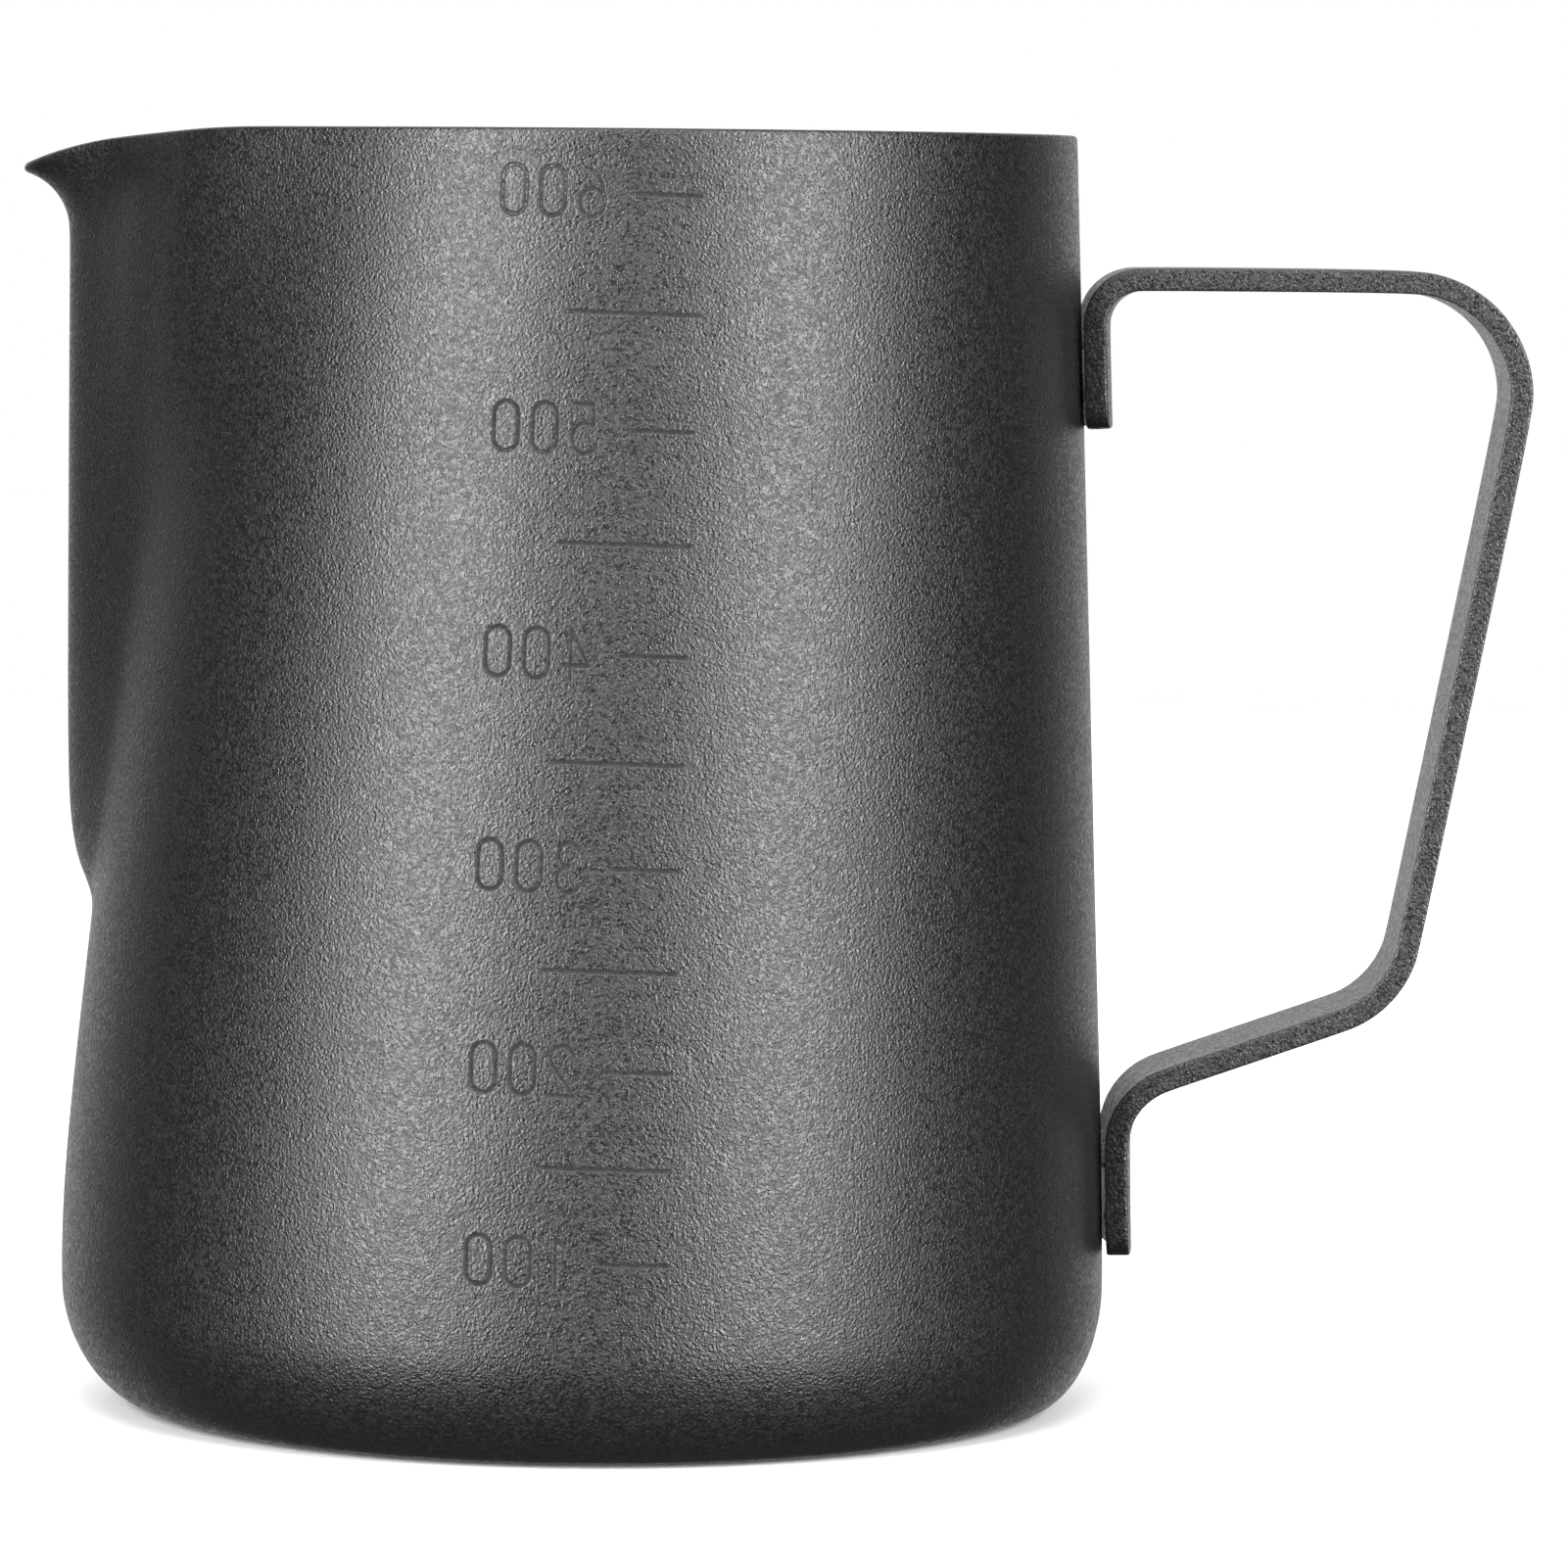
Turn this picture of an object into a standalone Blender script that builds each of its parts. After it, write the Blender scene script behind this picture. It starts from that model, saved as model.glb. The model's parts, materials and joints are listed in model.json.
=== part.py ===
"""Milk frothing pitcher, 600 ml: a drawn steel cup with a pressed spout and a
bent flat-bar handle that is spot-welded to its wall.

Units are metres, +Z is up, +X points to the handle and -X to the spout. The
origin lies on the table, under the middle of the pitcher's length and width.
Inside the functions, lengths are measured from the middle of the base ring.
"""
import math

import bmesh
import bpy
from mathutils import Vector

MM = 0.001

# --- cup ---------------------------------------------------------------------
HEIGHT = 111.0 * MM            # table to rim
WALL = 0.9 * MM                # sheet thickness
RING_OUT = 39.4 * MM           # flat ring that the pitcher stands on
RING_IN = 35.4 * MM
PANEL_RADIUS = 33.0 * MM       # base panel, pressed up clear of the table
PANEL_RISE = 0.9 * MM
BELLY_RADIUS = 45.85 * MM      # widest point of the wall
BELLY_Z = 10.3 * MM
BELLY_POWER = 1.85             # squareness of the curve from ring to belly
CONE_Z = 27.2 * MM             # the wall is straight above this height
TAPER = math.tan(math.radians(4.24))
LEAN = math.tan(math.radians(2.19))    # the wall's axis leans to the handle
SET_BACK = 1.65 * MM           # the leaning axis starts behind the ring's middle
SET_BACK_Z = 8.0 * MM
RIM_ROUND = 0.32 * MM

# --- spout -------------------------------------------------------------------
NOTCH_Z = 43.4 * MM            # where the spout starts to leave the wall
RIDGE_REACH = 46.45 * MM       # from the ring's middle to the spout's ridge
RIDGE_START = 2.95 * MM        # how far the ridge is set in at the notch
RIDGE_EASE = 3.4 * MM          # height over which it comes out
FOLD_SPREAD = 0.14             # half width gained per height
FOLD_START = 8.6 * MM          # half width gained just above the notch
FOLD_EASE = 3.2 * MM           # height over which it is gained
FOLD_SOFT = 0.7 * MM           # softness of the fold above the notch
RIM_FOLD_SOFT = 6.0 * MM       # softness of the fold at the rim
NOSE_SOFT = 0.075              # softness of the ridge, as a share of the radius
LIP_REACH = 50.3 * MM          # tip of the lip
LIP_CURL_Z = 102.0 * MM        # the lip curls out above this height
LIP_CURL_RADIUS = 5.1 * MM
LIP_CURL_WIDTH = math.radians(7.5)
LIP_DROP = 0.85 * MM           # the rim dips here before it curls
SPOUT_DIP = 1.1 * MM           # long shallow dip of the rim toward the spout
SPOUT_DIP_FROM = math.radians(40.0)

# --- handle ------------------------------------------------------------------
BAR_THICK = 2.0 * MM
BAR_WIDTH = 14.4 * MM
BAR_ROUND = 0.45 * MM          # rounded long edges
CORNER_ROUND = 1.6 * MM        # rounded tab corners
SEAT_GAP = 0.3 * MM            # weld gap between a tab and the wall
HANDLE_REACH = 81.05 * MM      # from the ring's middle to the handle's back
TOP_BAR_Z = 98.65 * MM         # middle of the bar's thickness
TOP_TAB_END_Z = 85.6 * MM
LOW_TAB_END_Z = 13.5 * MM
LOW_CORNER = (69.9 * MM, 36.1 * MM)    # where back and lower bar would meet
LOW_BAR_SLOPE = math.tan(math.radians(19.5))
BACK_SLOPE = math.tan(math.radians(11.1))
TOP_BEND = 4.0 * MM            # bend radii along the middle of the bar
BACK_TOP_BEND = 9.9 * MM
BACK_LOW_BEND = 8.8 * MM
LOW_BEND = 6.3 * MM

# --- spot welds --------------------------------------------------------------
WELD_RADIUS = 2.2 * MM
WELD_SPACING = 7.0 * MM        # across the tab
WELD_PLAY = 0.1 * MM           # faceted solids stay this far apart
POCKET_DEPTH = 0.5 * MM        # how far a weld reaches into its tab
TOP_WELD_Z = 90.2 * MM
LOW_WELD_Z = 18.0 * MM

# The origin is under the middle of the whole length, spout tip to handle back.
CUP_X = (LIP_REACH - HANDLE_REACH) / 2

# Shares of the way from the ridge to the fold, then from the fold to the back.
SPOUT_COLUMNS = (0.0, 0.09, 0.2, 0.34, 0.5, 0.66, 0.8, 0.9, 1.0)
BACK_COLUMNS = 22


def smooth(low, high, value):
    """Ease from 0 at low to 1 at high."""
    share = min(max((value - low) / (high - low), 0.0), 1.0)
    return share * share * (3.0 - 2.0 * share)


# --- the cup's surface -------------------------------------------------------

def axis_x(z):
    """X of the wall's middle at a height."""
    return LEAN * z - SET_BACK * (1.0 - math.exp(-z / SET_BACK_Z))


def cone_radius(z):
    """Outer radius of the round wall above the belly."""
    rise = max(z - BELLY_Z, 0.0)
    bend = CONE_Z - BELLY_Z
    if rise <= bend:
        return BELLY_RADIUS - 0.5 * TAPER * rise ** 2 / bend
    return BELLY_RADIUS - TAPER * (rise - 0.5 * bend)


def fold_angle(z):
    """Angle from the ridge to the fold where spout and wall meet."""
    up = z - NOTCH_Z
    half = FOLD_SPREAD * up + FOLD_START * (1.0 - math.exp(-up / FOLD_EASE))
    return math.asin(half / cone_radius(z))


def column_angle(z):
    """Angle that the mesh keeps for its fold column, also below the notch."""
    floor = math.radians(8.0)
    fold = fold_angle(z) if z > NOTCH_Z else 0.0
    return (fold ** 4 + floor ** 4) ** 0.25


def side_shape(angle):
    """Sine of an angle, rounded off at the ridge."""
    return math.hypot(math.sin(angle), NOSE_SOFT) - NOSE_SOFT


def spout_radius(angle, reach, radius, fold):
    """Radius of the spout's side: straight from the ridge to the fold."""
    across = side_shape(fold)
    slope = (1.0 / radius - math.cos(fold) / reach) / across
    if angle <= fold:
        return 1.0 / (math.cos(angle) / reach + slope * side_shape(angle))
    turn = math.sin(fold) * math.cos(fold) / math.hypot(math.sin(fold), NOSE_SOFT)
    fall = radius ** 2 * (slope * turn - math.sin(fold) / reach)
    return radius - max(fall, 0.0) * (angle - fold)


def section_radius(angle, z):
    """Outer radius at an angle from the ridge: round wall and pressed spout."""
    radius = cone_radius(z)
    angle = abs(angle)
    up = z - NOTCH_Z
    if up <= 0.0:
        return radius
    reach = RIDGE_REACH - RIDGE_START * math.exp(-up / RIDGE_EASE) + axis_x(z)
    if reach <= radius:
        return radius
    fold = fold_angle(z)
    spout = spout_radius(angle, reach, radius, fold)
    high = smooth(70.0 * MM, HEIGHT, z)
    soft = FOLD_SOFT + (RIM_FOLD_SOFT - FOLD_SOFT) * high
    soft *= smooth(0.0, 2.0 * MM, reach - radius) * smooth(0.0, 0.7 * fold, angle)
    soft *= 1.0 - smooth(fold, fold + math.radians(35.0), angle)
    return 0.5 * (radius + spout + math.hypot(radius - spout, soft))


def rim_height(angle):
    """Height of the rim before the lip is curled."""
    dip = SPOUT_DIP * smooth(0.0, SPOUT_DIP_FROM, SPOUT_DIP_FROM - abs(angle))
    lip = LIP_DROP * math.exp(-(angle / LIP_CURL_WIDTH) ** 2)
    return HEIGHT - dip - lip


def wall_point(angle, z):
    """A point of the outer wall, with the lip's curl."""
    out = section_radius(angle, min(z, HEIGHT))
    curl = math.exp(-(angle / LIP_CURL_WIDTH) ** 2)
    rise = z - LIP_CURL_Z
    if rise > 0.0 and curl > 0.01:
        radius = LIP_CURL_RADIUS / curl
        turn = rise / radius
        out += radius * (1.0 - math.cos(turn))
        z = LIP_CURL_Z + radius * math.sin(turn)
    x = axis_x(z) - out * math.cos(angle)
    return Vector((x, -out * math.sin(angle), z))


def column_shares():
    """Signed column positions round the cup: below 1 lies in the spout."""
    outer = []
    for index in range(1, BACK_COLUMNS + 1):
        share = index / BACK_COLUMNS
        outer.append(1.0 + share ** 1.35)
    right = list(SPOUT_COLUMNS) + outer
    left = [-share for share in reversed(right[1:-1])]
    return right + left


def angle_of(share, z):
    """Angle from the ridge of a column at a height."""
    edge = column_angle(z)
    size = abs(share)
    if size <= 1.0:
        angle = size * edge
    else:
        angle = edge + (size - 1.0) * (math.pi - edge)
    return math.copysign(angle, share)


def base_rows():
    """Radius and height of the base: panel, step and standing ring."""
    rows = [(PANEL_RADIUS * 0.5, PANEL_RISE), (PANEL_RADIUS, PANEL_RISE)]
    for step in range(1, 5):
        share = step / 5.0
        radius = PANEL_RADIUS + (RING_IN - PANEL_RADIUS) * share
        rows.append((radius, PANEL_RISE * (1.0 - smooth(0.0, 1.0, share))))
    rows.append((RING_IN, 0.0))
    rows.append((RING_OUT, 0.0))
    return rows


def belly_rows():
    """Radius and height of the curve from the ring up to the belly."""
    rows = []
    steps = 8
    for step in range(1, steps):
        turn = 0.5 * math.pi * step / steps
        out = math.sin(turn) ** (2.0 / BELLY_POWER)
        up = 1.0 - math.cos(turn) ** (2.0 / BELLY_POWER)
        rows.append((RING_OUT + (BELLY_RADIUS - RING_OUT) * out, BELLY_Z * up))
    rows.append((BELLY_RADIUS, BELLY_Z))
    return rows


def wall_heights():
    """Heights of the wall's rows, close together where the spout starts."""
    heights = [15.0 * MM, 20.0 * MM, CONE_Z, 36.0 * MM]
    heights += [(41.5 + 1.7 * step) * MM for step in range(8)]
    heights += [(57.0 + 7.0 * step) * MM for step in range(6)]
    heights += [98.0 * MM, LIP_CURL_Z]
    return heights


def make_cup_skin():
    """The cup's outer skin, open at the rim, from the base panel upward."""
    mesh = bmesh.new()
    shares = column_shares()
    rings = []
    for radius, z in base_rows() + belly_rows():
        ring = []
        for share in shares:
            angle = angle_of(share, 0.0)
            x = axis_x(z) - radius * math.cos(angle)
            ring.append(mesh.verts.new((x, -radius * math.sin(angle), z)))
        rings.append(ring)
    for z in wall_heights():
        rings.append([mesh.verts.new(wall_point(angle_of(s, z), z)) for s in shares])
    lip_rows = 6
    for step in range(1, lip_rows + 1):
        ring = []
        for share in shares:
            angle = angle_of(share, HEIGHT)
            top = rim_height(angle)
            z = LIP_CURL_Z + (top - LIP_CURL_Z) * step / lip_rows
            ring.append(mesh.verts.new(wall_point(angle_of(share, z), z)))
        rings.append(ring)
    count = len(shares)
    for low, high in zip(rings, rings[1:]):
        for i in range(count):
            j = (i + 1) % count
            mesh.faces.new((low[i], low[j], high[j], high[i]))
    middle = mesh.verts.new((0.0, 0.0, PANEL_RISE))
    for i in range(count):
        mesh.faces.new((rings[0][(i + 1) % count], rings[0][i], middle))
    return mesh


# --- the handle's line -------------------------------------------------------

def wall_x(z, y=0.0):
    """X of the cup's outer wall on the handle's side."""
    return axis_x(z) + math.sqrt(cone_radius(z) ** 2 - y ** 2)


def tab_x(z):
    """X of the middle of a tab's thickness."""
    return wall_x(z) + SEAT_GAP + BAR_THICK / 2


def handle_corners():
    """Corners of the bent bar in the XZ plane, lower tab end to upper tab end."""
    low_x, low_z = LOW_CORNER
    bend_x = tab_x(27.0 * MM)
    bend_z = low_z - (low_x - bend_x) * LOW_BAR_SLOPE
    back_x = low_x + (TOP_BAR_Z - low_z) * BACK_SLOPE
    return [
        Vector((tab_x(LOW_TAB_END_Z), LOW_TAB_END_Z)),
        Vector((bend_x, bend_z)),
        Vector((low_x, low_z)),
        Vector((back_x, TOP_BAR_Z)),
        Vector((tab_x(TOP_BAR_Z), TOP_BAR_Z)),
        Vector((tab_x(TOP_TAB_END_Z), TOP_TAB_END_Z)),
    ]


def rounded_line(corners, radii, steps):
    """Points along a line whose inner corners are arcs of the given radii."""
    points = [corners[0].copy()]
    for index, radius in enumerate(radii, start=1):
        before = (corners[index - 1] - corners[index]).normalized()
        after = (corners[index + 1] - corners[index]).normalized()
        half = before.angle(after) / 2
        run = radius / math.tan(half)
        toward = (before + after).normalized()
        middle = corners[index] + toward * radius / math.sin(half)
        start = corners[index] + before * run - middle
        end = corners[index] + after * run - middle
        first = math.atan2(start.y, start.x)
        sweep = math.remainder(math.atan2(end.y, end.x) - first, 2 * math.pi)
        for step in range(steps + 1):
            turn = first + sweep * step / steps
            points.append(middle + Vector((math.cos(turn), math.sin(turn))) * radius)
    points.append(corners[-1].copy())
    return points


def tab_stations(start, end):
    """Extra points along a tab, close together at its rounded end."""
    length = (end - start).length
    steps = [CORNER_ROUND * (1.0 - math.cos(math.radians(a))) for a in (0, 30, 60, 90)]
    steps.append((length + CORNER_ROUND) / 2)
    return [start.lerp(end, step / length) for step in steps]


def handle_line():
    """The whole middle line of the bar, with stations for the tabs' ends."""
    bends = (LOW_BEND, BACK_LOW_BEND, BACK_TOP_BEND, TOP_BEND)
    line = rounded_line(handle_corners(), bends, 8)
    low_tab = tab_stations(line[0], line[1])
    high_tab = tab_stations(line[-1], line[-2])
    return low_tab + line[1:-1] + list(reversed(high_tab))


def half_width(z, on_tab, tab_end):
    """Half of the bar's width, narrowed round a tab's corners."""
    half = BAR_WIDTH / 2
    inside = abs(z - tab_end)
    if not on_tab or inside >= CORNER_ROUND:
        return half
    short = CORNER_ROUND - inside
    return half - CORNER_ROUND + math.sqrt(CORNER_ROUND ** 2 - short ** 2)


def make_bar_sheet():
    """The bent bar as a sheet along its middle, dished to fit the wall."""
    mesh = bmesh.new()
    columns = 8
    rows = []
    reach = tab_x(LOW_TAB_END_Z)
    for point in handle_line():
        x, z = point
        near = 1.0 - smooth(reach - 2.0 * MM, reach + 9.0 * MM, x)
        tab_end = LOW_TAB_END_Z if z < 0.5 * HEIGHT else TOP_TAB_END_Z
        half = half_width(z, x < reach + 1.0 * MM, tab_end)
        row = []
        for column in range(columns + 1):
            y = half * (2.0 * column / columns - 1.0)
            dish = wall_x(z) - wall_x(z, y)
            row.append(mesh.verts.new((x - dish * near, y, z)))
        rows.append(row)
    for low, high in zip(rows, rows[1:]):
        for i in range(columns):
            mesh.faces.new((low[i], low[i + 1], high[i + 1], high[i]))
    return mesh


# --- objects -----------------------------------------------------------------

def clear_objects():
    """Start from an empty file."""
    for item in list(bpy.data.objects):
        bpy.data.objects.remove(item, do_unlink=True)


def black_coating():
    """Satin black coating over the steel, inside and out."""
    material = bpy.data.materials.new("black_coating")
    material.use_nodes = True
    shader = material.node_tree.nodes["Principled BSDF"]
    shader.inputs["Base Color"].default_value = (0.022, 0.022, 0.023, 1.0)
    shader.inputs["Roughness"].default_value = 0.42
    shader.inputs["Metallic"].default_value = 0.3
    return material


def weld_steel():
    """Bare stainless steel of the spot welds."""
    material = bpy.data.materials.new("weld_steel")
    material.use_nodes = True
    shader = material.node_tree.nodes["Principled BSDF"]
    shader.inputs["Base Color"].default_value = (0.52, 0.51, 0.50, 1.0)
    shader.inputs["Roughness"].default_value = 0.38
    shader.inputs["Metallic"].default_value = 1.0
    return material


def add_object(name, mesh, material, parent):
    """Turn a bmesh into a named object of the pitcher."""
    data = bpy.data.meshes.new(name)
    mesh.to_mesh(data)
    mesh.free()
    data.materials.append(material)
    data.shade_smooth()
    item = bpy.data.objects.new(name, data)
    bpy.context.scene.collection.objects.link(item)
    item.parent = parent
    return item


def add_thickness(item, thickness, offset):
    """Give a skin its sheet thickness."""
    solid = item.modifiers.new("thickness", "SOLIDIFY")
    solid.thickness = thickness
    solid.offset = offset
    solid.use_even_offset = True


def add_edge_round(item, width, segments, limit):
    """Round the sharp edges left by the sheet's thickness."""
    bevel = item.modifiers.new("edge_round", "BEVEL")
    bevel.width = width
    bevel.segments = segments
    bevel.limit_method = "ANGLE"
    bevel.angle_limit = math.radians(limit)
    bevel.use_clamp_overlap = True


def add_cup(material, parent):
    """Drawn cup with base, belly, tapered wall, pressed spout and curled lip."""
    cup = add_object("pitcher_body", make_cup_skin(), material, parent)
    add_thickness(cup, WALL, -1.0)
    add_edge_round(cup, RIM_ROUND, 2, 55)
    return cup


def weld_places():
    """Name, height and side of each spot weld."""
    places = []
    for tab, z in (("upper", TOP_WELD_Z), ("lower", LOW_WELD_Z)):
        for side, sign in (("front", -1), ("rear", 1)):
            places.append((f"{tab}_weld_{side}", z, sign * WELD_SPACING / 2))
    return places


def make_disc(radius, start, end, y, z):
    """A short round slug that stands on the wall and points out of it."""
    angle = math.asin(y / cone_radius(z))
    mesh = bmesh.new()
    bmesh.ops.create_cone(
        mesh, cap_ends=True, segments=24, radius1=radius, radius2=radius,
        depth=end - start,
    )
    outward = Vector((math.cos(angle), math.sin(angle), 0.0))
    turn = Vector((0.0, 0.0, 1.0)).rotation_difference(outward)
    bmesh.ops.rotate(mesh, verts=mesh.verts, matrix=turn.to_matrix())
    middle = Vector((axis_x(z), 0.0, z))
    middle += outward * (cone_radius(z) + 0.5 * (start + end))
    bmesh.ops.translate(mesh, verts=mesh.verts, vec=middle)
    return mesh


def add_handle(material, parent):
    """Bent flat bar with two dished tabs and a pocket behind each weld."""
    handle = add_object("handle_bar", make_bar_sheet(), material, parent)
    add_thickness(handle, BAR_THICK, 0.0)
    add_edge_round(handle, BAR_ROUND, 2, 55)
    for name, z, y in weld_places():
        pocket = make_disc(
            WELD_RADIUS + WELD_PLAY, -WALL, SEAT_GAP + POCKET_DEPTH, y, z
        )
        cutter = add_object(f"{name}_pocket", pocket, material, parent)
        cutter.hide_render = True
        cutter.display_type = "WIRE"
        cut = handle.modifiers.new(name, "BOOLEAN")
        cut.operation = "DIFFERENCE"
        cut.solver = "EXACT"
        cut.object = cutter
    return handle


def add_welds(material, parent):
    """Spot welds that join each tab to the wall."""
    for name, z, y in weld_places():
        slug = make_disc(
            WELD_RADIUS, WELD_PLAY, SEAT_GAP + POCKET_DEPTH - WELD_PLAY, y, z
        )
        item = add_object(name, slug, material, parent)
        item.data.set_sharp_from_angle(angle=math.radians(40))


def main():
    """Build the pitcher."""
    clear_objects()
    pitcher = bpy.data.objects.new("pitcher", None)
    bpy.context.scene.collection.objects.link(pitcher)
    pitcher.location.x = CUP_X
    coating = black_coating()
    add_cup(coating, pitcher)
    add_handle(coating, pitcher)
    add_welds(weld_steel(), pitcher)


main()
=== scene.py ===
"""Finish and studio for a 600 ml milk frothing pitcher.

Laid out as an add-on and run as a script: one operator for each piece or group
of pieces, one for the stage and one panel that lists them.
"""
import json
import math

import bmesh
import bpy
from bpy.props import FloatProperty, FloatVectorProperty, IntProperty, PointerProperty
from bpy.types import Operator, Panel, PropertyGroup
from mathutils import Matrix, Vector
from mathutils.bvhtree import BVHTree


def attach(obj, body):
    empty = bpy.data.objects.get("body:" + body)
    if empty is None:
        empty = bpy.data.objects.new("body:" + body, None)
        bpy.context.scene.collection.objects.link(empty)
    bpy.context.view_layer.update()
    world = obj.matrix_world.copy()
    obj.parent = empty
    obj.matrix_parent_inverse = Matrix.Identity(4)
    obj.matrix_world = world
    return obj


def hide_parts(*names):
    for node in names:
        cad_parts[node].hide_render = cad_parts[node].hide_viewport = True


bl_info = {
    "name": "Milk Frothing Pitcher",
    "version": (1, 0, 0),
    "blender": (4, 5, 0),
    "location": "3D View > Sidebar > Pitcher",
    "description": "Finishes the pitcher's cup, handle, welds and volume marks",
    "category": "Object",
}

MM = 0.001
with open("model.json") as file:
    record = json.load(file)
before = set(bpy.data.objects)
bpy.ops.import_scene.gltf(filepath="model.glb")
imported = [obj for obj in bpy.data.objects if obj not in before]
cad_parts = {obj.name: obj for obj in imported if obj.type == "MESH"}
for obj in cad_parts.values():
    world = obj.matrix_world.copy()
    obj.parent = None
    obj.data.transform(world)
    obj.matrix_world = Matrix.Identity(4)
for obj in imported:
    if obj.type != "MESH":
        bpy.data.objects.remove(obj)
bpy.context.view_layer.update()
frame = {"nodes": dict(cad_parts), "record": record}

# The rest mount is on the standing ring, so the cup's middle is a ring's radius away.
RING_RADIUS = 37.4 * MM
CUP_X = frame["record"]["mounts"][0]["pos_m"][0] - RING_RADIUS

# Turning a solid's triangles back into quads before it is smoothed.
MERGE_DISTANCE = 0.002 * MM
QUAD_FACE_ANGLE = math.radians(35)
QUAD_SHAPE_ANGLE = math.radians(120)
ROUNDING_LEVELS = 2

# The sprayed coating.
PRESSED = "pressed"                  # attribute: 1 in the middle of a pressed line
GRAIN_HEIGHT = 0.095 * MM
CLOUD_SIZE = 14.0 * MM               # soft patches, a little glossier or duller
CLOUD_SHARE = 0.08                   # weight of a patch in the roughness, a grain's being 1
GLOSSY_ROUGHNESS = 0.25
DULL_ROUGHNESS = 0.55
PRESSED_ROUGHNESS = 0.5              # added in the middle of a pressed line

# A Mix node's sockets when it mixes colours.
MIX_FIRST = 6
MIX_SECOND = 7
MIX_RESULT = 2

# The welds.
WELD_COUNT = 4
HEAT_CLOUD_SIZE = 1.2 * MM

# The volume marks.
FIRST_VOLUME = 100                   # millilitres at the lowest mark
LAST_VOLUME = 600
NUMBER_STEP = 100                    # a mark has a number and a short tick at these
MARKS_TURN = math.radians(10.0)      # the marks' right ends, from the front
MARKS_SLOPE = -0.030                 # the lines stand square to the leaning wall
SHORT_TICK = 5.4 * MM
LONG_TICK = 10.8 * MM
NUMBER_SHIFT = 12.3 * MM             # from the right ends to the middle digit
DIGIT_PITCH = 3.27 * MM
SKIN_REACH = 2.3 * MM                # the marks' skins end this far from a line
SKIN_LIFT = 0.01 * MM
SKIN_CELL = 0.1 * MM
SINK_REACH = 1.6 * MM                # the coarse wall is pushed in this far from a line
SINK_EXTRA = 0.04 * MM               # and this much deeper than the line
MARK_REACH = 4.87 * MM               # a mark and its sunk wall stay this near its height
WALL_DEPTH = 0.3 * MM                # deeper than this a vertex isn't on the outside
DULL_UP_TO = 0.3                     # of a line's width: the coating is dullest up to here
DULL_NO_MORE = 0.55                  # of a line's width: as glossy as elsewhere from here on
SECTION_RAYS = 72                    # for the area of the hollow
VOLUME_SLICES = 160                  # for the volume between the end marks
TINY = 1e-16                         # keeps a segment without length from dividing by 0
OUTSIDE = 80 * MM                    # a point this far out is clear of the cup

# The studio. A light: name, turn from the front in degrees, distance, height,
# width and height of its face in metres, and watts.
LIGHTS = (
    ("left_softbox", -38.5, 1.2, 0.30, (0.56, 1.3), 43.0),
    ("right_softbox", 43.0, 1.2, 0.30, (0.52, 1.3), 41.0),
    ("top_softbox", 180.0, 0.2, 1.8, (2.4, 2.4), 24.0),
    ("front_light", 0.0, 0.8, 1.05, (0.5, 0.35), 7.0),
    ("back_screen", 184.0, 1.5, 0.5, (2.8, 3.0), 26.0),
)
LIGHT_AIM = (CUP_X, 0.0, 0.06)
SEEN_WORLD = 1.0                     # strength of the white that the camera sees
LIT_WORLD = 0.11                     # strength of the white that lights the pitcher
PAPER_FIBRE_SIZE = 0.8 * MM
FLOOR_RADIUS = 1.0
FLOOR_DROP = 0.2 * MM                # keeps the floor clear of the standing ring
CAMERA_PLACE = (CUP_X + 16.4 * MM, -0.697, 104.35 * MM)
CAMERA_DOWN = math.radians(4.12)
CAMERA_ROLL = math.radians(0.52)
CAMERA_LENS = 183.0                  # millimetres, on a sensor 36 wide


def linear(hex_colour):
    """Linear RGBA of an sRGB colour written as a hex string."""
    parts = []
    for start in (0, 2, 4):
        value = int(hex_colour[start:start + 2], 16) / 255.0
        low = value / 12.92
        high = ((value + 0.055) / 1.055) ** 2.4
        parts.append(low if value <= 0.04045 else high)
    return (*parts, 1.0)


# --- settings ----------------------------------------------------------------

class PitcherSizes(PropertyGroup):
    """Sizes of the marks and of the finish's grain."""

    stroke_width: FloatProperty(
        name="Stroke width", description="Width of a pressed mark's line",
        default=0.40 * MM, min=0.1 * MM, max=1.0 * MM, unit="LENGTH", precision=5,
    )
    stroke_depth: FloatProperty(
        name="Stroke depth", description="How deep a line is pressed into the wall",
        default=0.13 * MM, min=0.01 * MM, max=0.3 * MM, unit="LENGTH", precision=5,
    )
    digit_height: FloatProperty(
        name="Digit height", description="Height of the volume numbers",
        default=4.1 * MM, min=2.0 * MM, max=8.0 * MM, unit="LENGTH", precision=4,
    )
    first_mark: FloatProperty(
        name="First mark", description="Height of the 100 ml mark over the table",
        default=17.4 * MM, min=10.0 * MM, max=30.0 * MM, unit="LENGTH", precision=4,
    )
    last_mark: FloatProperty(
        name="Last mark", description="Height of the 600 ml mark over the table",
        default=105.4 * MM, min=60.0 * MM, max=110.0 * MM, unit="LENGTH", precision=4,
    )
    mark_step: IntProperty(
        name="Mark step", description="Millilitres from one mark to the next",
        default=50, min=10, max=100,
    )
    grain: FloatProperty(
        name="Grain", description="Width of a grain of the sprayed coating",
        default=0.25 * MM, min=0.05 * MM, max=1.0 * MM, unit="LENGTH", precision=5,
    )


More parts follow.
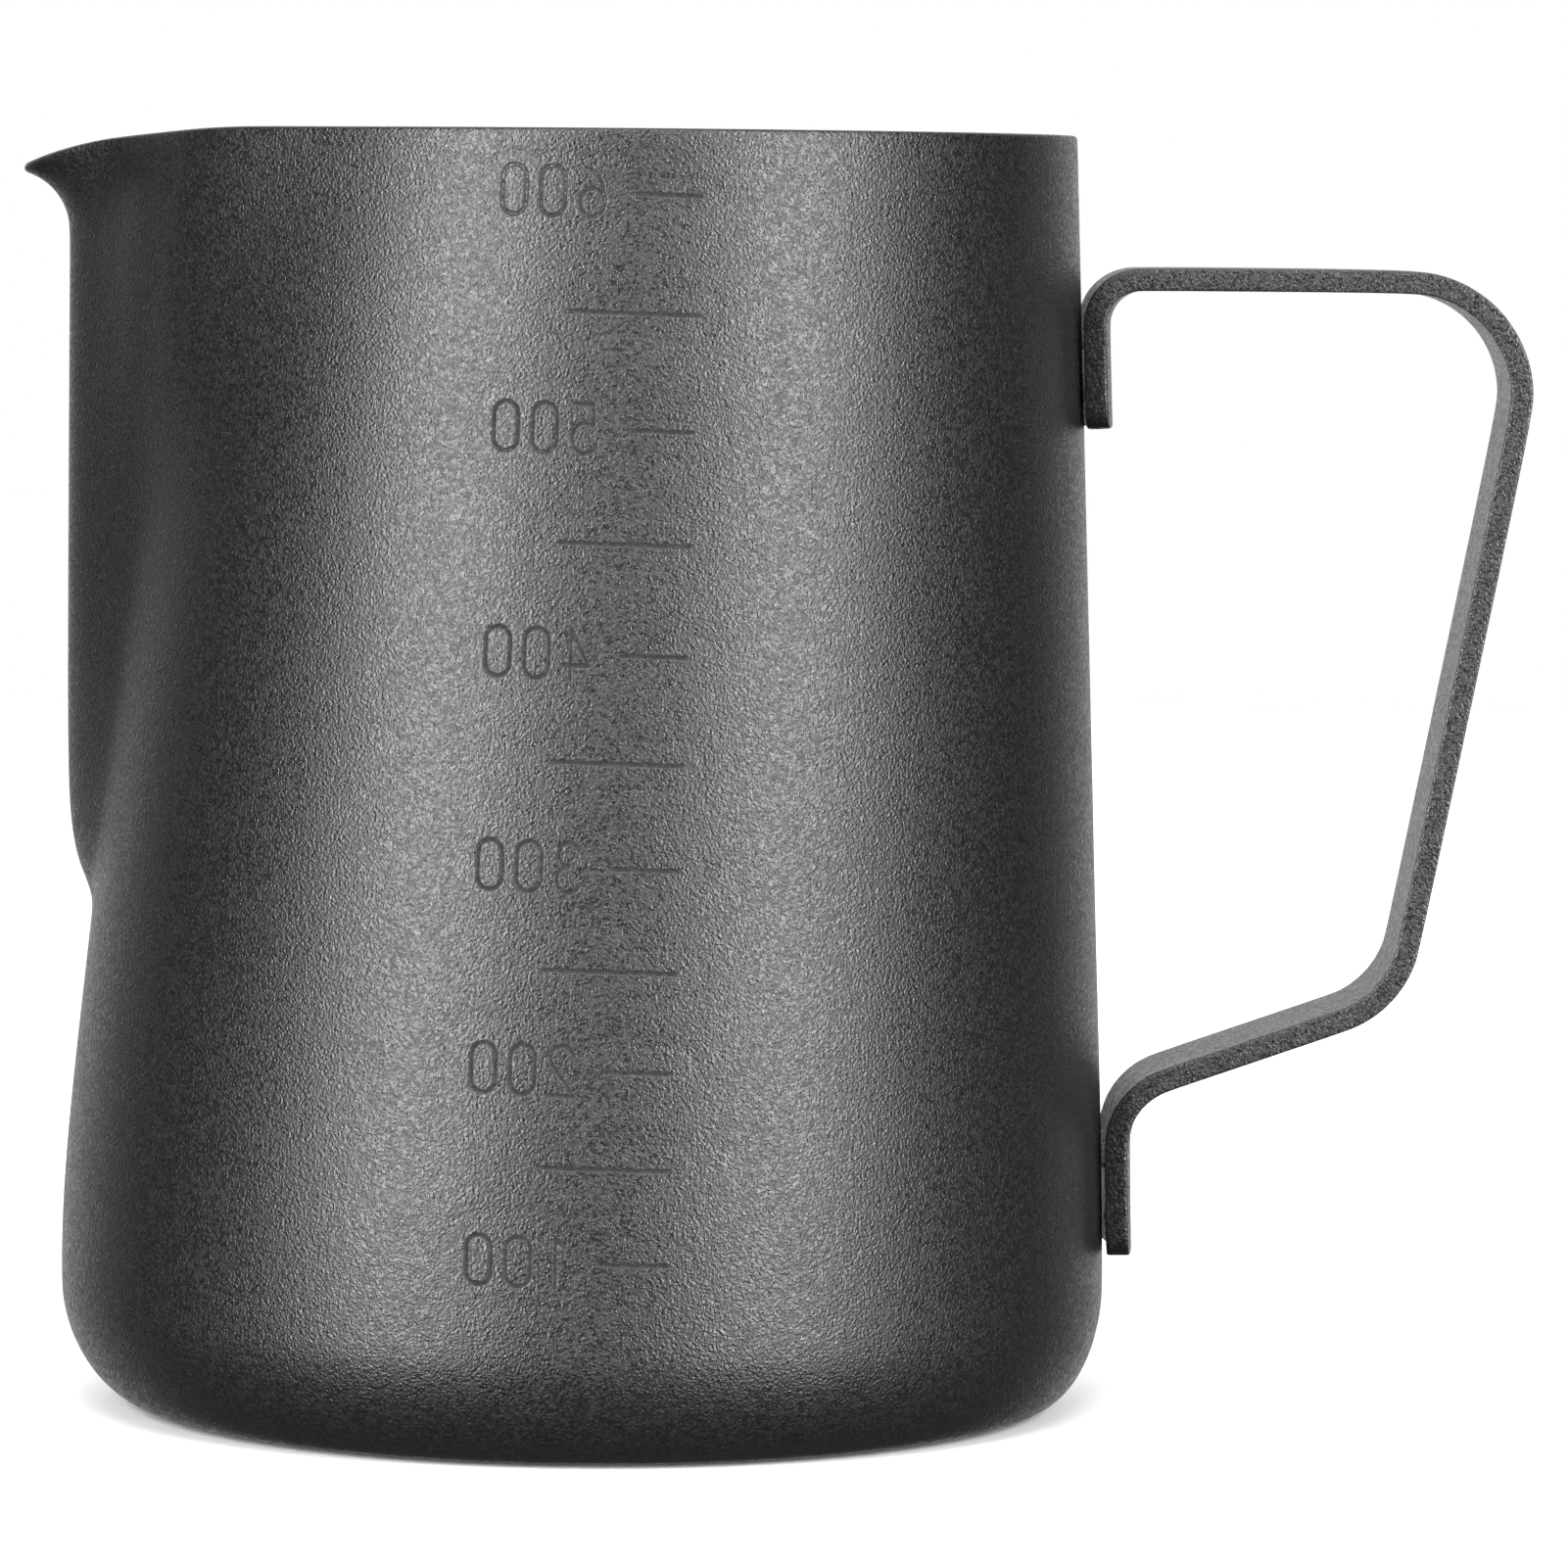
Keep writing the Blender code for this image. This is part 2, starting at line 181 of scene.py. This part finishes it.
class PitcherColours(PropertyGroup):
    """Colours of the pitcher's finishes and of the floor."""

    coating: FloatVectorProperty(
        name="Coating", description="Sprayed black coating", subtype="COLOR",
        size=4, min=0.0, max=1.0, default=linear("070707"),
    )
    # The grain's tops get this lighter colour and its pits the darker coating: some grain
    # tone, and painted shade in the pits.
    grain_top: FloatVectorProperty(
        name="Grain top", description="Coating on the tops of its grains",
        subtype="COLOR", size=4, min=0.0, max=1.0, default=linear("0f0f10"),
    )
    steel: FloatVectorProperty(
        name="Steel", description="Bare steel of the welds", subtype="COLOR",
        size=4, min=0.0, max=1.0, default=linear("b9b6b1"),
    )
    floor: FloatVectorProperty(
        name="Floor", description="Studio floor", subtype="COLOR",
        size=4, min=0.0, max=1.0, default=linear("f4f4f3"),
    )


# --- helpers -----------------------------------------------------------------

def deselect_all():
    """Leave edit mode with nothing selected."""
    if bpy.context.object and bpy.context.object.mode != "OBJECT":
        bpy.ops.object.mode_set(mode="OBJECT")
    bpy.ops.object.select_all(action="DESELECT")


def pick(piece):
    """Make one piece the selected and active one."""
    deselect_all()
    piece.select_set(True)
    bpy.context.view_layer.objects.active = piece


def copy_node(solid, name):
    """An own copy of a solid, merged and turned back into quads."""
    piece = frame["nodes"][solid].copy()
    piece.data = piece.data.copy()
    piece.name = name
    piece.data.name = name
    piece.parent = None
    bpy.context.scene.collection.objects.link(piece)
    pick(piece)
    bpy.ops.object.mode_set(mode="EDIT")
    bpy.ops.mesh.select_all(action="SELECT")
    bpy.ops.mesh.remove_doubles(threshold=MERGE_DISTANCE)
    bpy.ops.mesh.tris_convert_to_quads(
        face_threshold=QUAD_FACE_ANGLE, shape_threshold=QUAD_SHAPE_ANGLE
    )
    bpy.ops.object.mode_set(mode="OBJECT")
    return piece


def subdivide(piece):
    """Smooth a piece by subdivision and apply it."""
    pick(piece)
    rounding = piece.modifiers.new("rounding", "SUBSURF")
    rounding.levels = ROUNDING_LEVELS
    rounding.render_levels = ROUNDING_LEVELS
    bpy.ops.object.modifier_apply(modifier=rounding.name)
    bpy.ops.object.shade_smooth()


def node(tree, kind, settings=None, **links):
    """Add a shader node, set its fields and feed its inputs."""
    item = tree.nodes.new(kind)
    for key, value in (settings or {}).items():
        if isinstance(key, str) and hasattr(item, key):
            setattr(item, key, value)
        else:
            item.inputs[key].default_value = value
    for key, source in links.items():
        tree.links.new(source, item.inputs[key.replace("_", " ")])
    return item


def new_material(name):
    """An empty node material and its shader."""
    material = bpy.data.materials.new(name)
    material.use_nodes = True
    tree = material.node_tree
    tree.nodes.clear()
    shader = tree.nodes.new("ShaderNodeBsdfPrincipled")
    output = tree.nodes.new("ShaderNodeOutputMaterial")
    tree.links.new(shader.outputs["BSDF"], output.inputs["Surface"])
    return material, tree, shader


def give(piece, material):
    """Put one material on a piece."""
    piece.data.materials.clear()
    piece.data.materials.append(material)
    for face in piece.data.polygons:
        face.material_index = 0


# --- materials ---------------------------------------------------------------

def sprayed_coating():
    """Coating sprayed and baked on steel: satin black, with a fine grain that
    breaks a highlight into sparks and is hardly seen in the dark parts. The
    grain's pits are painted darker than its tops, as painted shade."""
    name = "sprayed_black_coating"
    if name in bpy.data.materials:
        return bpy.data.materials[name]
    sizes = bpy.context.scene.pitcher_sizes
    colours = bpy.context.scene.pitcher_colours
    material, tree, shader = new_material(name)
    place = node(tree, "ShaderNodeTexCoord").outputs["Object"]
    grain = node(
        tree, "ShaderNodeTexNoise",
        {"Scale": 1.0 / sizes.grain, "Detail": 1.0, "Roughness": 0.55},
        Vector=place,
    )
    cloud = node(
        tree, "ShaderNodeTexNoise", {"Scale": 1.0 / CLOUD_SIZE, "Detail": 3.0},
        Vector=place,
    )
    # Grain tops painted lighter and pits darker, following the bump's height: some grain
    # tone, and painted shade in the pits.
    top = node(
        tree, "ShaderNodeMapRange", {"From Min": 0.45, "From Max": 0.75},
        Value=grain.outputs["Fac"],
    )
    colour = node(
        tree, "ShaderNodeMix",
        {"data_type": "RGBA", MIX_FIRST: colours.coating, MIX_SECOND: colours.grain_top},
    )
    tree.links.new(top.outputs["Result"], colour.inputs[0])
    # Each sprayed grain dries a little smoother or duller than its neighbours.
    grains = node(
        tree, "ShaderNodeTexVoronoi", {"Scale": 1.0 / sizes.grain}, Vector=place
    )
    gloss = node(tree, "ShaderNodeSeparateColor", Color=grains.outputs["Color"])
    patchy = node(
        tree, "ShaderNodeMath", {"operation": "MULTIPLY_ADD", 1: CLOUD_SHARE},
        Value=cloud.outputs["Fac"],
    )
    tree.links.new(gloss.outputs["Red"], patchy.inputs[2])
    rough = node(
        tree, "ShaderNodeMapRange",
        {"From Max": 1.0 + CLOUD_SHARE, "To Min": GLOSSY_ROUGHNESS, "To Max": DULL_ROUGHNESS},
        Value=patchy.outputs["Value"],
    )
    # The coating lies thicker and duller in a pressed line.
    pressed = node(tree, "ShaderNodeAttribute", {"attribute_name": PRESSED})
    dull = node(
        tree, "ShaderNodeMath", {"operation": "MULTIPLY_ADD", 1: PRESSED_ROUGHNESS},
        Value=pressed.outputs["Fac"],
    )
    tree.links.new(rough.outputs["Result"], dull.inputs[2])
    bump = node(
        tree, "ShaderNodeBump", {"Strength": 1.0, "Distance": GRAIN_HEIGHT},
        Height=grain.outputs["Fac"],
    )
    tree.links.new(colour.outputs[MIX_RESULT], shader.inputs["Base Color"])
    tree.links.new(dull.outputs["Value"], shader.inputs["Roughness"])
    tree.links.new(bump.outputs["Normal"], shader.inputs["Normal"])
    return material


def weld_steel():
    """Stainless steel melted by spot welding: bright, bare and slightly clouded
    where the heat dulled it."""
    colours = bpy.context.scene.pitcher_colours
    material, tree, shader = new_material("spot_weld_steel")
    place = node(tree, "ShaderNodeTexCoord").outputs["Object"]
    cloud = node(
        tree, "ShaderNodeTexNoise", {"Scale": 1.0 / HEAT_CLOUD_SIZE, "Detail": 4.0},
        Vector=place,
    )
    rough = node(
        tree, "ShaderNodeMapRange", {"To Min": 0.25, "To Max": 0.5},
        Value=cloud.outputs["Fac"],
    )
    bump = node(
        tree, "ShaderNodeBump", {"Strength": 0.4, "Distance": 0.02 * MM},
        Height=cloud.outputs["Fac"],
    )
    shader.inputs["Base Color"].default_value = colours.steel
    shader.inputs["Metallic"].default_value = 1.0
    tree.links.new(rough.outputs["Result"], shader.inputs["Roughness"])
    tree.links.new(bump.outputs["Normal"], shader.inputs["Normal"])
    return material


def floor_paper():
    """Studio paper: matt and nearly white, with a faint tooth."""
    colours = bpy.context.scene.pitcher_colours
    material, tree, shader = new_material("studio_paper")
    place = node(tree, "ShaderNodeTexCoord").outputs["Object"]
    fibre = node(
        tree, "ShaderNodeTexNoise", {"Scale": 1.0 / PAPER_FIBRE_SIZE, "Detail": 3.0},
        Vector=place,
    )
    bump = node(
        tree, "ShaderNodeBump", {"Strength": 0.05, "Distance": 0.05 * MM},
        Height=fibre.outputs["Fac"],
    )
    shader.inputs["Base Color"].default_value = colours.floor
    shader.inputs["Roughness"].default_value = 0.9
    tree.links.new(bump.outputs["Normal"], shader.inputs["Normal"])
    return material


# --- pieces ------------------------------------------------------------------

class PITCHER_OT_cup(Operator):
    """Finish the drawn cup with its spout and rim"""

    bl_idname = "pitcher.cup"
    bl_label = "Finish Cup"

    def execute(self, context):
        cup = copy_node("pitcher_body", "cup_shell")
        subdivide(cup)
        give(cup, sprayed_coating())
        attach(cup, "root")
        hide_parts("pitcher_body")
        return {"FINISHED"}


class PITCHER_OT_handle(Operator):
    """Finish the bent flat-bar handle"""

    bl_idname = "pitcher.handle"
    bl_label = "Finish Handle"

    def execute(self, context):
        bar = copy_node("handle_bar", "handle_strap")
        subdivide(bar)
        give(bar, sprayed_coating())
        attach(bar, "root")
        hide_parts("handle_bar")
        return {"FINISHED"}


class PITCHER_OT_welds(Operator):
    """Give the spot welds their bare steel"""

    bl_idname = "pitcher.welds"
    bl_label = "Finish Welds"

    def execute(self, context):
        steel = weld_steel()
        welds = [name for name in frame["nodes"] if "_weld_" in name]
        if len(welds) != WELD_COUNT:
            raise RuntimeError("the frame has no four spot welds")
        for name in sorted(welds):
            give(frame["nodes"][name], steel)
        return {"FINISHED"}


# --- volume marks ------------------------------------------------------------

def arc(middle_x, middle_y, half_wide, half_high, start, end, steps=10):
    """Points of an elliptic arc; angles in degrees, counter-clockwise."""
    points = []
    for step in range(steps + 1):
        turn = math.radians(start + (end - start) * step / steps)
        x = middle_x + half_wide * math.cos(turn)
        points.append((x, middle_y + half_high * math.sin(turn)))
    return points


def digit_strokes(digit):
    """Lines of a digit in a cell 1 wide and 2 high, standing at 0, 0."""
    if digit == "0":
        top = arc(0.5, 1.5, 0.5, 0.5, 0, 180)
        return [top + arc(0.5, 0.5, 0.5, 0.5, 180, 360) + [(1.0, 1.5)]]
    if digit == "1":
        return [[(0.2, 1.62), (0.58, 2.0), (0.58, 0.0)]]
    if digit == "2":
        return [arc(0.5, 1.5, 0.48, 0.5, 170, -28) + [(0.0, 0.0), (1.0, 0.0)]]
    if digit == "3":
        top = arc(0.48, 1.52, 0.44, 0.48, 150, -90)
        low = arc(0.48, 0.52, 0.5, 0.52, 90, -150)
        return [top + low[1:]]
    if digit == "4":
        return [[(0.72, 0.0), (0.72, 2.0), (0.0, 0.55), (1.0, 0.55)]]
    if digit == "5":
        bowl = arc(0.46, 0.62, 0.52, 0.62, 125, -150, 14)
        return [[(0.92, 2.0), (0.16, 2.0), (0.12, 1.12)] + bowl]
    if digit == "6":
        bowl = arc(0.5, 0.58, 0.5, 0.58, 180, -180, 18)
        return [arc(0.9, 0.6, 0.9, 1.4, 108, 180, 8), bowl]
    raise ValueError(f"no strokes for {digit}")


def wall_tree(piece):
    """Search tree of a finished piece for finding its surface."""
    shape = bmesh.new()
    shape.from_mesh(piece.data)
    tree = BVHTree.FromBMesh(shape)
    shape.free()
    return tree


def reach(tree, start, way):
    """Distance from a point to the surface, one way."""
    return tree.ray_cast(start, Vector(way))[3]


def section(tree, z):
    """Area of the cup's hollow at a height, as a fan of thin triangles."""
    middle = Vector((CUP_X, 0.0, z))
    sides = []
    for index in range(SECTION_RAYS):
        turn = 2 * math.pi * index / SECTION_RAYS
        sides.append(reach(tree, middle, (math.cos(turn), math.sin(turn), 0.0)))
    wedge = math.sin(2 * math.pi / SECTION_RAYS) / 2
    return sum(a * b * wedge for a, b in zip(sides, sides[1:] + sides[:1]))


def mark_heights(tree, first, last, count):
    """Heights that cut the hollow between two marks into equal volumes."""
    thick = (last - first) / VOLUME_SLICES
    volumes = [0.0]
    for index in range(VOLUME_SLICES):
        area = section(tree, first + (index + 0.5) * thick)
        volumes.append(volumes[-1] + area * thick)
    heights = []
    index = 0
    for mark in range(count):
        wanted = volumes[-1] * mark / (count - 1)
        while index < VOLUME_SLICES - 1 and volumes[index + 1] < wanted:
            index += 1
        share = (wanted - volumes[index]) / (volumes[index + 1] - volumes[index])
        heights.append(first + (index + share) * thick)
    return heights


def mark_groups(heights, step, digit_height):
    """Strokes of each tick with its number, by volume; a point is its distance
    from the marks' right end and its height over the table."""
    groups = {}
    for index, z in enumerate(heights):
        volume = FIRST_VOLUME + step * index
        length = LONG_TICK if volume % NUMBER_STEP else SHORT_TICK
        strokes = [slanted(z, [(-length, 0.0), (-length / 2, 0.0), (0.0, 0.0)])]
        groups[volume] = strokes
        if volume % NUMBER_STEP:
            continue
        for place, digit in enumerate(str(volume)):
            # Read from inside the cup, so the first digit is the right-hand one.
            middle = -NUMBER_SHIFT + (1 - place) * DIGIT_PITCH
            for stroke in digit_strokes(digit):
                size = digit_height / 2
                points = [(middle - (x - 0.5) * size, (y - 1.0) * size) for x, y in stroke]
                strokes.append(slanted(z, points))
    return groups


def slanted(z, points):
    """Points lifted to a mark's height along its slightly falling line."""
    return [(x, z + y + x * MARKS_SLOPE) for x, y in points]


def stroke_distance(x, y, strokes):
    """Distance from a point to the nearest stroke."""
    nearest = math.inf
    for points in strokes:
        for (ax, ay), (bx, by) in zip(points, points[1:]):
            dx, dy = bx - ax, by - ay
            share = ((x - ax) * dx + (y - ay) * dy) / max(dx * dx + dy * dy, TINY)
            share = min(1.0, max(0.0, share))
            gap = math.hypot(x - ax - share * dx, y - ay - share * dy)
            nearest = min(nearest, gap)
    return nearest


def smooth(low, high, value):
    """Ease from 0 at low to 1 at high."""
    share = min(1.0, max(0.0, (value - low) / (high - low)))
    return share * share * (3.0 - 2.0 * share)


def press_mark(name, tree, strokes, width, depth):
    """One mark's strokes pressed into a fine skin that lies on the outer wall
    and dips under it at its edge."""
    piece = bpy.data.objects.new(name, bpy.data.meshes.new(name))
    bpy.context.scene.collection.objects.link(piece)
    shape = bmesh.new()
    pressed = shape.verts.layers.float.new(PRESSED)
    xs = [x for points in strokes for x, _ in points]
    zs = [z for points in strokes for _, z in points]
    left, low = min(xs) - SKIN_REACH, min(zs) - SKIN_REACH
    columns = math.ceil((max(xs) + SKIN_REACH - left) / SKIN_CELL)
    rows = math.ceil((max(zs) + SKIN_REACH - low) / SKIN_CELL)
    grid = {}
    for row in range(rows + 1):
        z = low + row * SKIN_CELL
        middle, radius = round_middle(tree, z)
        for column in range(columns + 1):
            x = left + column * SKIN_CELL
            gap = stroke_distance(x, z, strokes)
            if gap > SKIN_REACH:
                continue
            cover = 1.0 - 2.0 * smooth(SINK_REACH, SKIN_REACH, gap)
            line = 1.0 - smooth(0.0, width / 2, gap)
            out = radius + SKIN_LIFT * cover - depth * line
            turn = MARKS_TURN + x / radius
            vertex = shape.verts.new(
                (middle + out * math.sin(turn), -out * math.cos(turn), z)
            )
            vertex[pressed] = 1.0 - smooth(DULL_UP_TO * width, DULL_NO_MORE * width, gap)
            grid[row, column] = vertex
    for row, column in list(grid):
        right, above = column + 1, row + 1
        corners = ((row, column), (row, right), (above, right), (above, column))
        if all(corner in grid for corner in corners):
            shape.faces.new([grid[corner] for corner in corners])
    shape.to_mesh(piece.data)
    shape.free()
    pick(piece)
    bpy.ops.object.shade_smooth()
    return piece


def sink_wall(cup, tree, groups, depth):
    """Push the cup's own coarse wall in under the marks, to clear the lines."""
    for vertex in cup.data.vertices:
        x, y, z = vertex.co
        near = [
            strokes for strokes in groups
            if abs(strokes[0][0][1] - z) < MARK_REACH
        ]
        if y > 0.0 or not near:
            continue
        middle, radius = round_middle(tree, z)
        if math.hypot(x - middle, y) < radius - WALL_DEPTH:
            continue
        across = (math.atan2(x - middle, -y) - MARKS_TURN) * radius
        gap = min(stroke_distance(across, z, strokes) for strokes in near)
        share = 1.0 - smooth(SINK_REACH / 2, SINK_REACH, gap)
        inward = Vector((middle - x, -y, 0.0)).normalized()
        vertex.co += inward * share * (depth + SINK_EXTRA)
    cup.data.update()


def stroke_piece(name, groups, width):
    """Round strokes on a flat sheet: X across, Z up and Y toward the viewer."""
    curve = bpy.data.curves.new(name, "CURVE")
    curve.dimensions = "3D"
    curve.bevel_depth = width / 2
    curve.bevel_resolution = 2
    curve.use_fill_caps = True
    for points in (stroke for strokes in groups for stroke in strokes):
        spline = curve.splines.new("POLY")
        spline.points.add(len(points) - 1)
        for point, (x, z) in zip(spline.points, points):
            point.co = (x, 0.0, z, 1.0)
    piece = bpy.data.objects.new(name, curve)
    bpy.context.scene.collection.objects.link(piece)
    pick(piece)
    bpy.ops.object.convert(target="MESH")
    bpy.ops.object.shade_smooth()
    return bpy.context.object


def round_middle(tree, z):
    """X of the round wall's middle and its radius outside, at a height."""
    middle = Vector((CUP_X, 0.0, z))
    back = OUTSIDE - reach(tree, middle + Vector((OUTSIDE, 0.0, 0.0)), (-1.0, 0.0, 0.0))
    side = OUTSIDE - reach(tree, middle + Vector((0.0, OUTSIDE, 0.0)), (0.0, -1.0, 0.0))
    return CUP_X + back - side, side


def wrap_inside(piece, tree, height_share):
    """Lay flat strokes on the inner wall, where the pressed lines stand out."""
    for vertex in piece.data.vertices:
        across, height, z = vertex.co
        middle, radius = round_middle(tree, z)
        turn = MARKS_TURN + across / radius
        outward = Vector((math.sin(turn), -math.cos(turn), 0.0))
        hit = tree.ray_cast(Vector((middle, 0.0, z)), outward)[0]
        vertex.co = hit + outward * height * height_share
    piece.data.update()


class PITCHER_OT_marks(Operator):
    """Press the volume marks: grooves outside, low ridges inside"""

    bl_idname = "pitcher.marks"
    bl_label = "Press Volume Marks"

    def execute(self, context):
        sizes = context.scene.pitcher_sizes
        cup = bpy.data.objects.get("cup_shell")
        if cup is None:
            raise RuntimeError("the cup has to be finished first")
        tree = wall_tree(cup)
        count = 1 + (LAST_VOLUME - FIRST_VOLUME) // sizes.mark_step
        heights = mark_heights(tree, sizes.first_mark, sizes.last_mark, count)
        groups = mark_groups(heights, sizes.mark_step, sizes.digit_height)
        width = sizes.stroke_width
        depth = sizes.stroke_depth
        pieces = [
            press_mark(f"pressed_mark_{volume}", tree, strokes, width, depth)
            for volume, strokes in groups.items()
        ]
        sink_wall(cup, tree, groups.values(), depth)
        ridges = stroke_piece("volume_marks_inside", groups.values(), width)
        wrap_inside(ridges, tree, 2 * depth / width)
        for piece in (*pieces, ridges):
            give(piece, sprayed_coating())
            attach(piece, "root")
        return {"FINISHED"}


# --- studio ------------------------------------------------------------------

def add_floor():
    """A round white floor that takes the pitcher's shadow. It stays out of the
    coating's reflections and doesn't stand in the way of the low lights."""
    deselect_all()
    bpy.ops.mesh.primitive_circle_add(
        vertices=96, radius=FLOOR_RADIUS, fill_type="NGON", location=(0.0, 0.0, -FLOOR_DROP)
    )
    floor = bpy.context.object
    floor.name = "studio_floor"
    floor.visible_glossy = False
    floor.visible_shadow = False
    give(floor, floor_paper())


def add_softbox(name, turn, distance, height, size, power):
    """A flat soft light that stands off the pitcher and faces it."""
    light = bpy.data.lights.new(name, "AREA")
    light.shape = "RECTANGLE"
    light.size, light.size_y = size
    light.energy = power
    item = bpy.data.objects.new(name, light)
    angle = math.radians(turn)
    item.location = (distance * math.sin(angle), -distance * math.cos(angle), height)
    aim = Vector(LIGHT_AIM) - item.location
    item.rotation_euler = aim.to_track_quat("-Z", "Y").to_euler()
    item.visible_camera = False
    bpy.context.scene.collection.objects.link(item)


def add_world():
    """White surroundings to look at, dim as a light."""
    world = bpy.data.worlds.new("white_studio")
    bpy.context.scene.world = world
    world.use_nodes = True
    tree = world.node_tree
    tree.nodes.clear()
    path = node(tree, "ShaderNodeLightPath")
    white = (1.0, 1.0, 1.0, 1.0)
    seen = node(tree, "ShaderNodeBackground", {"Color": white, "Strength": SEEN_WORLD})
    lit = node(tree, "ShaderNodeBackground", {"Color": white, "Strength": LIT_WORLD})
    mix = node(tree, "ShaderNodeMixShader")
    tree.links.new(path.outputs["Is Camera Ray"], mix.inputs[0])
    tree.links.new(lit.outputs[0], mix.inputs[1])
    tree.links.new(seen.outputs[0], mix.inputs[2])
    output = node(tree, "ShaderNodeOutputWorld")
    tree.links.new(mix.outputs[0], output.inputs["Surface"])


def add_camera():
    """A long lens a little above the rim, looking slightly down."""
    camera = bpy.data.cameras.new("studio_camera")
    camera.sensor_width = 36.0
    camera.lens = CAMERA_LENS
    camera.clip_end = 50.0
    item = bpy.data.objects.new("studio_camera", camera)
    bpy.context.scene.collection.objects.link(item)
    place = Matrix.Translation(CAMERA_PLACE)
    pitch = Matrix.Rotation(math.radians(90.0) - CAMERA_DOWN, 4, "X")
    roll = Matrix.Rotation(CAMERA_ROLL, 4, "Z")
    item.matrix_world = place @ pitch @ roll
    bpy.context.scene.camera = item


class PITCHER_OT_stage(Operator):
    """Set up the white floor, the soft lights and the camera"""

    bl_idname = "pitcher.stage"
    bl_label = "Set Up Studio"

    def execute(self, context):
        add_floor()
        add_world()
        for light in LIGHTS:
            add_softbox(*light)
        add_camera()
        context.scene.view_settings.view_transform = "Standard"
        return {"FINISHED"}


# --- panel -------------------------------------------------------------------

class VIEW3D_PT_pitcher(Panel):
    """Lists the pitcher's steps and settings"""

    bl_label = "Milk Frothing Pitcher"
    bl_idname = "VIEW3D_PT_pitcher"
    bl_space_type = "VIEW_3D"
    bl_region_type = "UI"
    bl_category = "Pitcher"

    def draw(self, context):
        column = self.layout.column()
        for operator in OPERATORS:
            column.operator(operator.bl_idname)
        for group in (context.scene.pitcher_sizes, context.scene.pitcher_colours):
            for key in group.bl_rna.properties.keys():
                if key not in {"rna_type", "name"}:
                    column.prop(group, key)


OPERATORS = (
    PITCHER_OT_cup,
    PITCHER_OT_handle,
    PITCHER_OT_welds,
    PITCHER_OT_marks,
    PITCHER_OT_stage,
)
CLASSES = (PitcherSizes, PitcherColours, *OPERATORS, VIEW3D_PT_pitcher)


def register():
    for item in CLASSES:
        bpy.utils.register_class(item)
    bpy.types.Scene.pitcher_sizes = PointerProperty(type=PitcherSizes)
    bpy.types.Scene.pitcher_colours = PointerProperty(type=PitcherColours)


def unregister():
    del bpy.types.Scene.pitcher_colours
    del bpy.types.Scene.pitcher_sizes
    for item in reversed(CLASSES):
        bpy.utils.unregister_class(item)


def main():
    """Finish every piece and set up the studio."""
    register()
    bpy.ops.pitcher.cup()
    bpy.ops.pitcher.handle()
    bpy.ops.pitcher.welds()
    bpy.ops.pitcher.marks()
    bpy.ops.pitcher.stage()


if __name__ == "__main__":
    main()
